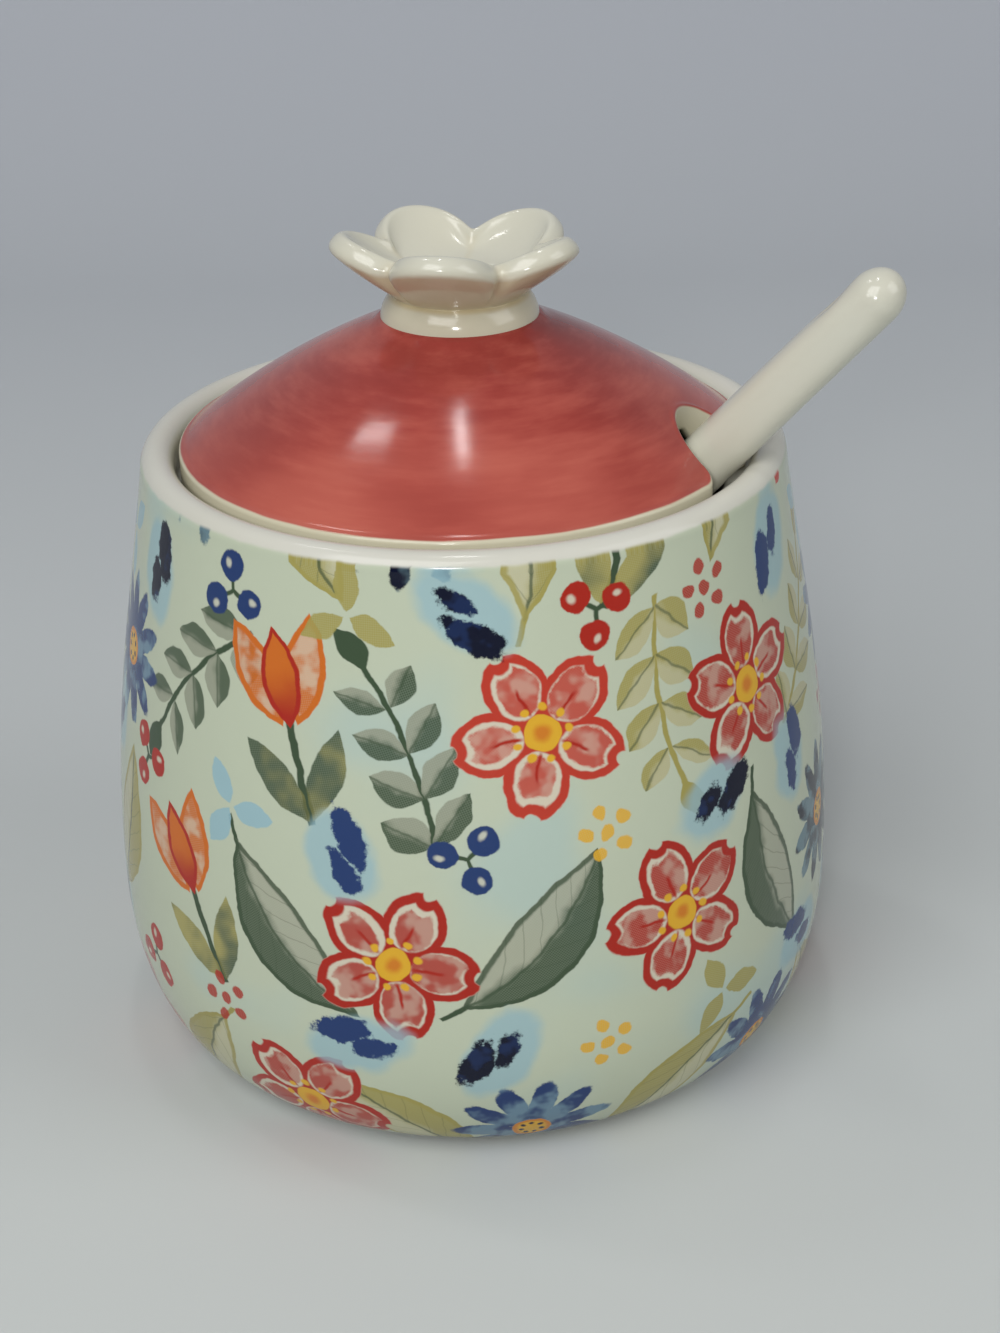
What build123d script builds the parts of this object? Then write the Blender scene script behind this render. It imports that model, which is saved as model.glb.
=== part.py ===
from build123d import *
import os
from math import asin, atan2, cos, degrees, hypot, radians, sin, sqrt, tan

# Jam pot: a bellied pot, a lid let into its rim, a flower knob on the lid,
# and a spoon that leans out through a notch in the lid's edge.
# Millimetres and degrees. The pot stands on z = 0 with its axis on Z,
# its front faces -Y, and azimuths are counted from +X towards +Y.

# Pot
belly_radius = 47.5      # widest place of the wall
belly_height = 21.0      # height of that place over the table
neck_radius = 40.5       # outside of the wall where the rim starts
neck_taper = 8.8         # lean of the wall where it meets the rim
pot_height = 80.3        # top of the rim over the table
rim_width = 4.2          # thickness of the rounded rim
wall = 4.1               # side wall
floor_thickness = 3.7    # floor over the hollow inside the foot ring
foot_radius = 39.0       # outside of the foot ring
foot_width = 3.6         # width of the ring that stands on the table
foot_height = 0.9        # unglazed step between the ring and the wall
seat_depth = 5.0         # lid seat below the top of the rim
seat_width = 3.3         # ledge that carries the lid
seat_thickness = 3.0     # ledge at its inner edge

# Lid
lid_gap = 0.7            # play between the lid and the rim
lid_skirt = 4.5          # straight edge of the lid over its seat
lid_rise = 15.2          # from the top of that edge to the knob
lid_bulge = 1.0          # rise of the dome over a straight cone
lid_wall = 3.2           # thickness of the dome, measured upright
skirt_width = 4.0        # width of the ring that sits on the ledge

# Flower knob
collar_radius = 9.8      # bead at the foot of the knob
collar_height = 2.8
waist_radius = 8.5       # groove between the bead and the flower
petal_count = 5
petal_reach = 15.6       # tip of a petal from the knob's axis
petal_radius = 7.0       # outline of one petal seen from above
petal_height = 8.7       # petal tips over the waist
petal_thickness = 2.8
petal_azimuth = -101.0   # direction of the first petal
cup_floor = 2.8          # bottom of the flower's hollow over the waist

# Spoon
spoon_length = 131.5
spoon_azimuth = -20.0    # direction in which the handle leans out
handle_width = 8.4       # thickest place of the handle
handle_thickness = 7.2
handle_end_width = 7.6   # near the rounded end
neck_width = 7.0         # where the handle meets the bowl
neck_round = 2.5         # rounded lower end of the handle, on the bowl's edge
bowl_length = 38.0
bowl_width = 24.0
bowl_depth = 7.5
bowl_wall = 2.3
spoon_clearance = 0.35   # from the pot's rim and floor
bowl_inset = 0.6         # bowl tip inside the edge of the flat floor
notch_side_gap = 2.8     # between the handle and each side of the notch
notch_clearance = 0.35   # between the handle and the end of the notch

# Heights and radii that follow from the sizes above
rim_radius = rim_width / 2
rim_center_radius = neck_radius - rim_radius
rim_center_height = pot_height - rim_radius
gallery_radius = neck_radius - rim_width
seat_height = pot_height - seat_depth
throat_radius = gallery_radius - seat_width
floor_radius = foot_radius - foot_width
floor_height = foot_height + floor_thickness
lid_radius = gallery_radius - lid_gap
skirt_top = seat_height + lid_skirt
crown_height = skirt_top + lid_rise
dome_slope = lid_rise / (lid_radius - collar_radius)
under_radius = lid_radius - skirt_width
under_height = skirt_top + skirt_width * dome_slope - lid_wall
under_slope = (crown_height - lid_wall - under_height) / (under_radius - collar_radius)
waist_height = crown_height + collar_height

# The spoon leans from the edge of the pot's floor to the far side of the rim.
rest_radius = floor_radius - bowl_inset
rest_height = floor_height + spoon_clearance
rim_run = rim_center_radius + rest_radius
rim_climb = rim_center_height - rest_height
handle_offset = rim_radius + spoon_clearance + handle_thickness / 2
spoon_lean = degrees(atan2(rim_climb, rim_run) + asin(handle_offset / hypot(rim_run, rim_climb)))
lean_sin = sin(radians(spoon_lean))
lean_cos = cos(radians(spoon_lean))
bowl_half = bowl_length / 2
bowl_drop = hypot(bowl_half * lean_sin, bowl_depth * lean_cos) - bowl_half * lean_sin
bowl_shift = bowl_drop / lean_sin
bowl_tip_radius = -rest_radius + bowl_shift * lean_cos
bowl_tip_height = rest_height + bowl_drop

# The notch ends where the top of the handle passes under the lid.
notch_radius = handle_width / 2 + notch_side_gap
handle_top = handle_offset + handle_thickness / 2 + notch_clearance
handle_line = rim_center_height + handle_top / lean_cos - rim_center_radius * lean_sin / lean_cos
notch_end = (under_height + under_radius * under_slope - handle_line) / (lean_sin / lean_cos + under_slope)


def turned(outline):
    """Solid of revolution about Z from edges drawn as radius and height."""
    return revolve(Plane.XZ * make_face(outline), Axis.Z)


def corner_curve(low_radius, low_height, high_radius, high_height):
    """Rounded lower corner of the pot: flat at the bottom, upright at the belly."""
    pull = 0.55
    run = high_radius - low_radius
    climb = high_height - low_height
    return Bezier(
        (low_radius, low_height),
        (low_radius + pull * run, low_height),
        (high_radius, high_height - pull * climb),
        (high_radius, high_height),
    )


def wall_curve(low_radius, low_height, high_radius, high_height):
    """Side wall: upright at the belly, leaning in by the neck taper at the top."""
    climb = high_height - low_height
    low_pull = 0.40 * climb
    high_pull = 0.35 * climb
    return Bezier(
        (low_radius, low_height),
        (low_radius, low_height + low_pull),
        (high_radius + high_pull * tan(radians(neck_taper)), high_height - high_pull),
        (high_radius, high_height),
    )


def pot_body():
    """Pot with foot ring, bellied wall, rounded rim and the ledge for the lid."""
    inner_belly = belly_radius - wall
    inner_neck = neck_radius - wall
    ledge_under = seat_height - seat_thickness
    ledge_foot = ledge_under - (inner_neck - throat_radius)
    outer_start = (foot_radius, foot_height)
    inner_start = (floor_radius, floor_height)
    outline = [
        Polyline((floor_radius, foot_height), (floor_radius, 0), (foot_radius, 0), outer_start),
        corner_curve(*outer_start, belly_radius, belly_height),
        wall_curve(belly_radius, belly_height, neck_radius, rim_center_height),
        ThreePointArc(
            (neck_radius, rim_center_height),
            (rim_center_radius, pot_height),
            (gallery_radius, rim_center_height),
        ),
        Polyline(
            (gallery_radius, rim_center_height),
            (gallery_radius, seat_height),
            (throat_radius, seat_height),
            (throat_radius, ledge_under),
            (inner_neck, ledge_foot),
        ),
        wall_curve(inner_belly, belly_height, inner_neck, ledge_foot),
        corner_curve(*inner_start, inner_belly, belly_height),
        Polyline(inner_start, (0, floor_height), (0, foot_height), (floor_radius, foot_height)),
    ]
    return turned(outline)


def dome_arc(start, end):
    """Arc from the lid's edge to its crown, lid_bulge above the straight line."""
    run = end[0] - start[0]
    climb = end[1] - start[1]
    chord = hypot(run, climb)
    middle = (
        (start[0] + end[0]) / 2 + lid_bulge * climb / chord,
        (start[1] + end[1]) / 2 - lid_bulge * run / chord,
    )
    return ThreePointArc(start, middle, end)


def lid():
    """Hollow domed lid with a round-ended notch for the spoon in its edge."""
    outer_edge = (lid_radius, skirt_top)
    outer_crown = (collar_radius, crown_height)
    under_edge = (under_radius, under_height)
    under_crown = (collar_radius, crown_height - lid_wall)
    outline = [
        Polyline(under_edge, (under_radius, seat_height), (lid_radius, seat_height), outer_edge),
        dome_arc(outer_edge, outer_crown),
        Polyline(outer_crown, (0, crown_height), (0, crown_height - lid_wall), under_crown),
        dome_arc(under_edge, under_crown),
    ]
    notch_center = notch_end + notch_radius
    mouth = lid_radius
    plan = Pos(notch_center, 0) * Circle(notch_radius)
    plan += Pos(notch_center + mouth / 2, 0) * Rectangle(mouth, 2 * notch_radius)
    cutter = Pos(0, 0, seat_height) * extrude(plan, crown_height - seat_height)
    return turned(outline) - Rot(0, 0, spoon_azimuth) * cutter


def flower_knob():
    """Knob cast as an open flower: a beaded collar, a waist and a cup cut into petals."""
    tip_height = waist_height + petal_height
    lip = petal_thickness / sqrt(2)
    under_tip = (petal_reach + lip, tip_height)
    inner_tip = (petal_reach - lip, tip_height)
    waist = (waist_radius, waist_height)
    cup_edge = (waist_radius - petal_thickness, waist_height + cup_floor)
    bead_swell = collar_height / 8
    outline = [
        Line((0, crown_height), (collar_radius, crown_height)),
        Bezier(
            (collar_radius, crown_height),
            (collar_radius + bead_swell, crown_height + collar_height / 2),
            (waist_radius + bead_swell, waist_height),
            waist,
        ),
        Polyline(waist, under_tip, inner_tip, cup_edge, (0, cup_edge[1]), (0, crown_height)),
    ]
    center = petal_reach - petal_radius
    plan = Circle(collar_radius + bead_swell)
    for index in range(petal_count):
        angle = petal_azimuth + index * 360 / petal_count
        plan += Rot(0, 0, angle) * Pos(center, 0) * Circle(petal_radius)
    petals = Pos(0, 0, crown_height) * extrude(plan, tip_height - crown_height)
    return turned(outline) & petals


def spoon():
    """Spoon with an oval bowl and a tapering oval handle, leaning in the pot."""
    end_radius = handle_end_width / 2
    neck_half = neck_width / 2
    start = bowl_length - 0.75 * bowl_wall
    side_start = start + neck_round
    end_start = spoon_length - end_radius
    middle = (side_start + end_start) / 2
    nose = Bezier(
        (start, 0),
        (start, 0.55 * neck_half),
        (side_start - 0.55 * neck_round, neck_half),
        (side_start, neck_half),
    )
    side = Spline(
        (side_start, neck_half),
        (middle, handle_width / 2),
        (end_start, end_radius),
        tangents=((1, 0), (1, 0)),
    )
    tip = ThreePointArc(
        (end_start, end_radius),
        (end_start + end_radius / sqrt(2), end_radius / sqrt(2)),
        (spoon_length, 0),
    )
    outline = [nose, side, tip, Line((spoon_length, 0), (start, 0))]
    round_handle = revolve(make_face(outline), Axis.X)
    handle = scale(round_handle, (1, 1, handle_thickness / handle_width))
    outer_size = (bowl_half, bowl_width / 2, bowl_depth)
    inner_size = tuple(size - bowl_wall for size in outer_size)
    lower_half = Pos(0, 0, -bowl_depth) * Box(bowl_length, bowl_width, 2 * bowl_depth)
    bowl = scale(Sphere(1), outer_size) & lower_half
    whole = Pos(bowl_half, 0, 0) * bowl + handle
    whole -= Pos(bowl_half, 0, 0) * scale(Sphere(1), inner_size)
    place = Rot(0, 0, spoon_azimuth) * Pos(bowl_tip_radius, 0, bowl_tip_height) * Rot(0, -spoon_lean, 0)
    return place * whole


nodes = {
    "pot_body": pot_body(),
    "lid": lid(),
    "flower_knob": flower_knob(),
    "spoon": spoon(),
}
os.makedirs("parts", exist_ok=True)
for name, solid in nodes.items():
    export_step(solid, f"parts/{name}.step")
print(f"spoon leans at {spoon_lean:.2f} degrees, notch ends {notch_end:.2f} mm from the axis")
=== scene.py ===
"""A glazed jam pot with its lid, flower knob and spoon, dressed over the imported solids.

Lengths are millimetres, in the pot's own frame: Z is the pot's axis, the table is at zero,
the front faces -Y, and azimuths run from +X towards +Y. Meshes are turned to metres last.
"""
import logging
import math
from dataclasses import dataclass, field
from enum import IntEnum
from typing import Any, Mapping, Sequence

import bpy
import numpy as np
from mathutils import Matrix, Vector


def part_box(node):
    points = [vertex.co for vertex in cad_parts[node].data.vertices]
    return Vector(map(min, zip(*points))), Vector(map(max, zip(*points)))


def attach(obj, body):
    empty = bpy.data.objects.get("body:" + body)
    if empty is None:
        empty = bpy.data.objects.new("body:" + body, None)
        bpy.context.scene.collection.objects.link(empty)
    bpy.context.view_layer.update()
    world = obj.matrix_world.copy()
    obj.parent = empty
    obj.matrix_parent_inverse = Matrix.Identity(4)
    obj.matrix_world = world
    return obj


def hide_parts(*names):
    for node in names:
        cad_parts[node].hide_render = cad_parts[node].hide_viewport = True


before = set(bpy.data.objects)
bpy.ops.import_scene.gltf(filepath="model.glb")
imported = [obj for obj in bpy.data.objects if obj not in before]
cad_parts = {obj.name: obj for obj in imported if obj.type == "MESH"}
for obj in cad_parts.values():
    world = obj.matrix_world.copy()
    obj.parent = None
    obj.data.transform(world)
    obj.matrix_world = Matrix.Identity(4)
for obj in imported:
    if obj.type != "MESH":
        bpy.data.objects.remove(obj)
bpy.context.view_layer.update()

MM = 0.001
WELD = 1e-4
log = logging.getLogger("jam_pot")


def tone(code: str) -> tuple[float, float, float, float]:
    """Turns a written colour into the linear colour that a shader takes.

    Args:
        code: Red, green and blue as six hexadecimal digits after a hash sign.

    Returns:
        Linear red, green, blue and an alpha of one.
    """
    shares = [int(code[place:place + 2], 16) / 255 for place in (1, 3, 5)]
    linear = [s / 12.92 if s <= 0.04045 else ((s + 0.055) / 1.055) ** 2.4 for s in shares]
    return linear[0], linear[1], linear[2], 1.0


def ease(values: np.ndarray, low: float, high: float) -> np.ndarray:
    """Rises from 0 at low to 1 at high along the curve 3t^2 - 2t^3."""
    share = np.clip((values - low) / (high - low), 0, 1)
    return share * share * (3 - 2 * share)


def bezier(corners: Sequence[Any], count: int) -> np.ndarray:
    """Points on a cubic Bezier curve, or on one curve for each column, in equal steps.

    Args:
        corners: The four control points, each a radius and a height, or such a pair for each column.
        count: How many points.

    Returns:
        An array of count rows of radius and height, with the columns between.
    """
    a, b, c, d = np.broadcast_arrays(*(np.asarray(corner, float) for corner in corners))
    t = np.linspace(0, 1, count).reshape(-1, *[1] * a.ndim)
    return a * (1 - t) ** 3 + b * 3 * t * (1 - t) ** 2 + c * 3 * t ** 2 * (1 - t) + d * t ** 3


def arc(center: Sequence[float], radius: float, start: float, end: float, count: int) -> np.ndarray:
    """Points on a circle's arc: center plus radius times the cosine and sine of the angle.

    Args:
        center: Radius and height of the arc's centre.
        radius: The arc's own radius.
        start: Angle of the first point in degrees.
        end: Angle of the last point in degrees.
        count: How many points.

    Returns:
        An array of count rows of radius and height.
    """
    angle = np.radians(np.linspace(start, end, count))
    return np.asarray(center, float) + radius * np.stack([np.cos(angle), np.sin(angle)], axis=1)


def rounded(corners: Sequence[Sequence[float]], radius: float, steps: int = 7) -> np.ndarray:
    """A polyline whose inner corners are worn round.

    Each corner becomes a quadratic curve between the points that lie one radius along its two
    sides, with the corner as the curve's control point.

    Args:
        corners: The polyline's corners, as radius and height.
        radius: How far from a corner the rounding starts.
        steps: Points on each rounded corner.

    Returns:
        The polyline's points with its two ends kept.
    """
    nodes = np.asarray(corners, float)
    pieces = [nodes[:1]]
    t = np.linspace(0, 1, steps)[:, None]
    for before, corner, after in zip(nodes[:-2], nodes[1:-1], nodes[2:]):
        back = (before - corner) / np.linalg.norm(before - corner)
        onward = (after - corner) / np.linalg.norm(after - corner)
        enter, leave = corner + radius * back, corner + radius * onward
        pieces.append(enter * (1 - t) ** 2 + corner * 2 * t * (1 - t) + leave * t ** 2)
    pieces.append(nodes[-1:])
    return np.vstack(pieces)


def dome(start: Sequence[float], end: Sequence[float], bulge: float, radii: np.ndarray) -> np.ndarray:
    """Heights on the circle's arc that joins two points and stands bulge over their chord.

    Args:
        start: Radius and height of the outer end.
        end: Radius and height of the inner end, which is higher.
        bulge: Height of the arc over the middle of its chord.
        radii: Radii to find heights for. Past the inner end the height stays level.

    Returns:
        The height at each radius.
    """
    low, high = np.asarray(start, float), np.asarray(end, float)
    chord = np.linalg.norm(high - low)
    curve = (chord ** 2 / 4 + bulge ** 2) / (2 * bulge)
    outward = np.array([high[1] - low[1], low[0] - high[0]]) / chord
    center = (low + high) / 2 - outward * (curve - bulge)
    reach = np.clip(radii, high[0], None) - center[0]
    return center[1] + np.sqrt(curve ** 2 - reach ** 2)


def ring(radii: np.ndarray, heights: np.ndarray, azimuths: np.ndarray) -> np.ndarray:
    """Points at the given radius, height and azimuth, as x = r cos a, y = r sin a, z = h."""
    radii, heights, azimuths = np.broadcast_arrays(radii, heights, azimuths)
    return np.stack([radii * np.cos(azimuths), radii * np.sin(azimuths), heights], axis=-1)


@dataclass
class GridSurface:
    """A closed surface on a grid whose columns run round it, and whose end rows are poles.

    Fields:
        points: Rows by columns by three, in millimetres.
        marks: Values on the points, by name, that the surface's glaze reads.
    """

    points: np.ndarray
    marks: dict[str, np.ndarray] = field(default_factory=dict)

    def welded(self) -> tuple[np.ndarray, np.ndarray, np.ndarray, np.ndarray]:
        """Joins points that share a place and drops the faces that this leaves without area.

        Returns:
            The points, the faces with four corners, those with three, and each point's place
            in the flattened grid.
        """
        rows, columns = self.points.shape[:2]
        flat = self.points.reshape(-1, 3)
        keys = np.round(flat / WELD).astype(np.int64)
        _, first, shared = np.unique(keys, axis=0, return_index=True, return_inverse=True)
        index = shared.reshape(rows, columns)
        near, far = index[:-1], index[1:]
        sides = [near, np.roll(near, -1, axis=1), np.roll(far, -1, axis=1), far]
        quads = np.stack(sides, axis=-1).reshape(-1, 4)
        doubled = quads == np.roll(quads, -1, axis=1)
        count = doubled.sum(axis=1)
        triangles = quads[count == 1][~doubled[count == 1]].reshape(-1, 3)
        return flat[first], quads[count == 0], triangles, first

    def piece(self, name: str) -> bpy.types.Object:
        """Puts the surface into a smooth mesh with its marks.

        Args:
            name: Name of the new object and of its mesh.

        Returns:
            The object, at the origin.
        """
        points, quads, triangles, source = self.welded()
        mesh = bpy.data.meshes.new(name)
        mesh.from_pydata((points * MM).tolist(), [], quads.tolist() + triangles.tolist())
        mesh.shade_smooth()
        for label, values in self.marks.items():
            layer = mesh.attributes.new(label, "FLOAT", "POINT")
            flat = np.broadcast_to(values, self.points.shape[:2]).reshape(-1)
            layer.data.foreach_set("value", flat[source].astype(np.float32))
        mesh.update()
        made = bpy.data.objects.new(name, mesh)
        bpy.context.scene.collection.objects.link(made)
        return made


class Value:
    """A number that changes over a surface: a shader socket that Python expressions take."""

    def __init__(self, shader: "Shader", socket: bpy.types.NodeSocket) -> None:
        """Keeps the shader that the socket belongs to."""
        self.shader = shader
        self.socket = socket

    def __add__(self, other: "Value | float") -> "Value":
        """Sum."""
        return self.shader.math("ADD", self, other)

    def __sub__(self, other: "Value | float") -> "Value":
        """Difference."""
        return self.shader.math("SUBTRACT", self, other)

    def __rsub__(self, other: "Value | float") -> "Value":
        """Difference from a number."""
        return self.shader.math("SUBTRACT", other, self)

    def __mul__(self, other: "Value | float") -> "Value":
        """Product."""
        return self.shader.math("MULTIPLY", self, other)

    def __truediv__(self, other: "Value | float") -> "Value":
        """Quotient."""
        return self.shader.math("DIVIDE", self, other)

    def __pow__(self, other: "Value | float") -> "Value":
        """Power."""
        return self.shader.math("POWER", self, other)

    def __abs__(self) -> "Value":
        """Size without sign."""
        return self.shader.math("ABSOLUTE", self)

    __radd__ = __add__
    __rmul__ = __mul__

    def least(self, other: "Value | float") -> "Value":
        """The smaller of two."""
        return self.shader.math("MINIMUM", self, other)

    def most(self, other: "Value | float") -> "Value":
        """The larger of two."""
        return self.shader.math("MAXIMUM", self, other)

    def floor(self) -> "Value":
        """The whole number at or under it."""
        return self.shader.math("FLOOR", self)

    def part(self) -> "Value":
        """What is left over the whole number."""
        return self.shader.math("FRACT", self)

    def rise(self, low: float, high: float) -> "Value":
        """Goes smoothly from 0 at low to 1 at high.

        Args:
            low: Where it starts to rise.
            high: Where it is 1.

        Returns:
            The risen value.
        """
        made = self.shader.node(
            "ShaderNodeMapRange",
            {"interpolation_type": "SMOOTHSTEP"},
            {"Value": self, "From Min": low, "From Max": high},
        )
        return Value(self.shader, made.outputs["Result"])

    def inside(self, soft: float = 0.12) -> "Value":
        """1 where a distance is under zero, with an edge that fades over twice soft."""
        return 1 - self.rise(-soft, soft)


Input = Any


class Shader:
    """A glaze in the making: its nodes, and the surface that they feed."""

    def __init__(self, name: str) -> None:
        """Starts a material with its plain surface.

        Args:
            name: The material's name.
        """
        self.material = bpy.data.materials.new(name)
        self.material.use_nodes = True
        self.tree = self.material.node_tree
        self.surface = self.tree.nodes["Principled BSDF"]

    def node(
        self, kind: str, settings: Mapping[str, Any] | None = None, inputs: Mapping[Any, Input] | None = None
    ) -> bpy.types.Node:
        """Adds one node.

        Args:
            kind: The node's type.
            settings: Its settings by name.
            inputs: Values or links of its sockets, by the socket's name or place.

        Returns:
            The node.
        """
        made = self.tree.nodes.new(kind)
        for label, setting in (settings or {}).items():
            setattr(made, label, setting)
        for label, given in (inputs or {}).items():
            self.feed(made.inputs[label], given)
        return made

    def feed(self, socket: bpy.types.NodeSocket, given: Input) -> None:
        """Links a value or another socket to a socket, or sets a number or colour on it.

        Args:
            socket: The socket to feed.
            given: A Value, a socket, a number, a colour or a vector.
        """
        source = given.socket if isinstance(given, Value) else given
        if isinstance(source, bpy.types.NodeSocket):
            self.tree.links.new(source, socket)
        else:
            socket.default_value = source

    def math(self, operation: str, *given: "Value | float") -> Value:
        """Adds a Math node for one operation on values and numbers."""
        made = self.node("ShaderNodeMath", {"operation": operation}, dict(enumerate(given)))
        return Value(self, made.outputs[0])

    def mix(self, share: "Value | float", first: Input, second: Input, blend: str = "MIX") -> Any:
        """Blends two colours.

        Args:
            share: How much of the second colour.
            first: Colour under it.
            second: Colour over it.
            blend: How they blend.

        Returns:
            The blended colour's socket.
        """
        settings = {"data_type": "RGBA", "blend_type": blend}
        return self.node("ShaderNodeMix", settings, {0: share, 6: first, 7: second}).outputs[2]

    def place(self) -> Any:
        """The place on the piece, in metres, as a vector socket."""
        return self.node("ShaderNodeTexCoord").outputs["Object"]

    def split(self, vector: Any) -> list[Value]:
        """The three numbers of a vector."""
        made = self.node("ShaderNodeSeparateXYZ", inputs={0: vector})
        return [Value(self, socket) for socket in made.outputs]

    def join(self, x: Any, y: Any, z: Any) -> Any:
        """A vector of three numbers."""
        return self.node("ShaderNodeCombineXYZ", inputs={0: x, 1: y, 2: z}).outputs[0]

    def noise(self, vector: Any, scale: float, detail: float = 3.0, rough: float = 0.5) -> Value:
        """Cloudy noise from 0 to 1 over a vector."""
        inputs = {"Vector": vector, "Scale": scale, "Detail": detail, "Roughness": rough}
        return Value(self, self.node("ShaderNodeTexNoise", inputs=inputs).outputs[0])

    def mark(self, label: str) -> Value:
        """A number that the mesh carries under that name."""
        return Value(self, self.node("ShaderNodeAttribute", {"attribute_name": label}).outputs["Fac"])

    def marked_vector(self, label: str) -> Any:
        """A vector that the mesh carries under that name."""
        return self.node("ShaderNodeAttribute", {"attribute_name": label}).outputs["Vector"]

    def relief(self, height: Value, depth: float) -> None:
        """Tilts the surface's normal as a raised glaze would.

        Args:
            height: How high the glaze stands, from 0 to 1.
            depth: Millimetres between 0 and 1.
        """
        inputs = {"Height": height, "Strength": 1.0, "Distance": depth * MM}
        bump = self.node("ShaderNodeBump", inputs=inputs)
        self.feed(self.surface.inputs["Normal"], bump.outputs["Normal"])

    def finish(self, **given: Input) -> bpy.types.Material:
        """Feeds the surface's sockets.

        Args:
            given: Values of the sockets, by their names with underscores for spaces.

        Returns:
            The finished material.
        """
        for label, value in given.items():
            self.feed(self.surface.inputs[label.replace("_", " ")], value)
        return self.material


@dataclass
class Spot:
    """A place on the printed wall, in millimetres from the middle of its motif."""

    x: Value
    y: Value

    def turned(self, degrees: float) -> "Spot":
        """The place as seen from axes that are turned by that angle."""
        c, s = math.cos(math.radians(degrees)), math.sin(math.radians(degrees))
        return Spot(self.x * c + self.y * s, self.y * c - self.x * s)

    def moved(self, x: float, y: float) -> "Spot":
        """The place as counted from another point."""
        return Spot(self.x - x, self.y - y)

    def mirrored(self) -> "Spot":
        """The place with its left half laid over its right half."""
        return Spot(abs(self.x), self.y)

    def radius(self) -> Value:
        """Distance from the middle."""
        return (self.x * self.x + self.y * self.y) ** 0.5

    def folded(self, count: int) -> "Spot":
        """The place with all sectors of a flower laid over the one round +X.

        Args:
            count: How many sectors the flower has.

        Returns:
            The place in the one sector.
        """
        shader = self.x.shader
        sector = 2 * math.pi / count
        turn = shader.math("ARCTAN2", self.y, self.x) * (1 / sector)
        angle = ((turn + 0.5).part() - 0.5) * sector
        radius = self.radius()
        return Spot(radius * shader.math("COSINE", angle), radius * shader.math("SINE", angle))

    def oval(self, x: float, y: float, half_length: float, half_width: float) -> Value:
        """Distance from an oval, about zero on its edge and under zero inside it.

        The formula is the length of the place's offset, with each axis divided by the oval's own
        half size, less one, times the smaller half size.

        Args:
            x: Middle of the oval.
            y: Middle of the oval.
            half_length: Half its size along X.
            half_width: Half its size along Y.

        Returns:
            The distance in millimetres.
        """
        across, along = (self.x - x) / half_length, (self.y - y) / half_width
        return ((across * across + along * along) ** 0.5 - 1) * min(half_length, half_width)

    def leaf(self, length: float, half_width: float) -> Value:
        """Distance from a pointed leaf along +X.

        Its edge lies at the half width times 4t(1 - t), t being the share along the leaf.

        Args:
            length: The leaf's length.
            half_width: Half its width in the middle.

        Returns:
            The distance in millimetres, under zero inside the leaf.
        """
        share = (self.x / length).most(0.0).least(1.0)
        edge = share * (1 - share) * (4 * half_width)
        return (abs(self.y) - edge).most(abs(self.x - length / 2) - length / 2)


@dataclass(frozen=True)
class WhiteGlaze:
    """Ivory glaze of the knob and the spoon."""

    body: str = "#cbcbbe"
    # The pooled tint is glaze pooled in hollows and also painted shade, most of all on the knob's
    # undersides.
    pooled_and_shaded: str = "#bcaa80"
    roughness: float = 0.12
    cloud_scale: float = 55.0
    fine_scale: float = 260.0
    relief: float = 0.12

    def material(self) -> bpy.types.Material:
        """Ivory that turns creamy and darker where the glaze pools and where painted shade lies, with a soft
        unevenness.

        Returns:
            The material. It reads the mark "glaze_pool_and_shade", from 0 to 1: pooled glaze in hollows, and
            painted shade.
        """
        shader = Shader("ivory_glaze")
        place = shader.place()
        cloud = shader.noise(place, self.cloud_scale, 2)
        # Pooled glaze and painted shade, by the mesh's mark, plus random tone from the cloud.
        pooled_and_shaded = (shader.mark("glaze_pool_and_shade") * 0.75 + cloud * 0.22).least(1.0)
        colour = shader.mix(pooled_and_shaded, tone(self.body), tone(self.pooled_and_shaded))
        fine = shader.noise(place, self.fine_scale, 2)
        shader.relief(cloud * 0.8 + fine * 0.2, self.relief)
        return shader.finish(Base_Color=colour, Roughness=self.roughness + fine * 0.05)


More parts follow.
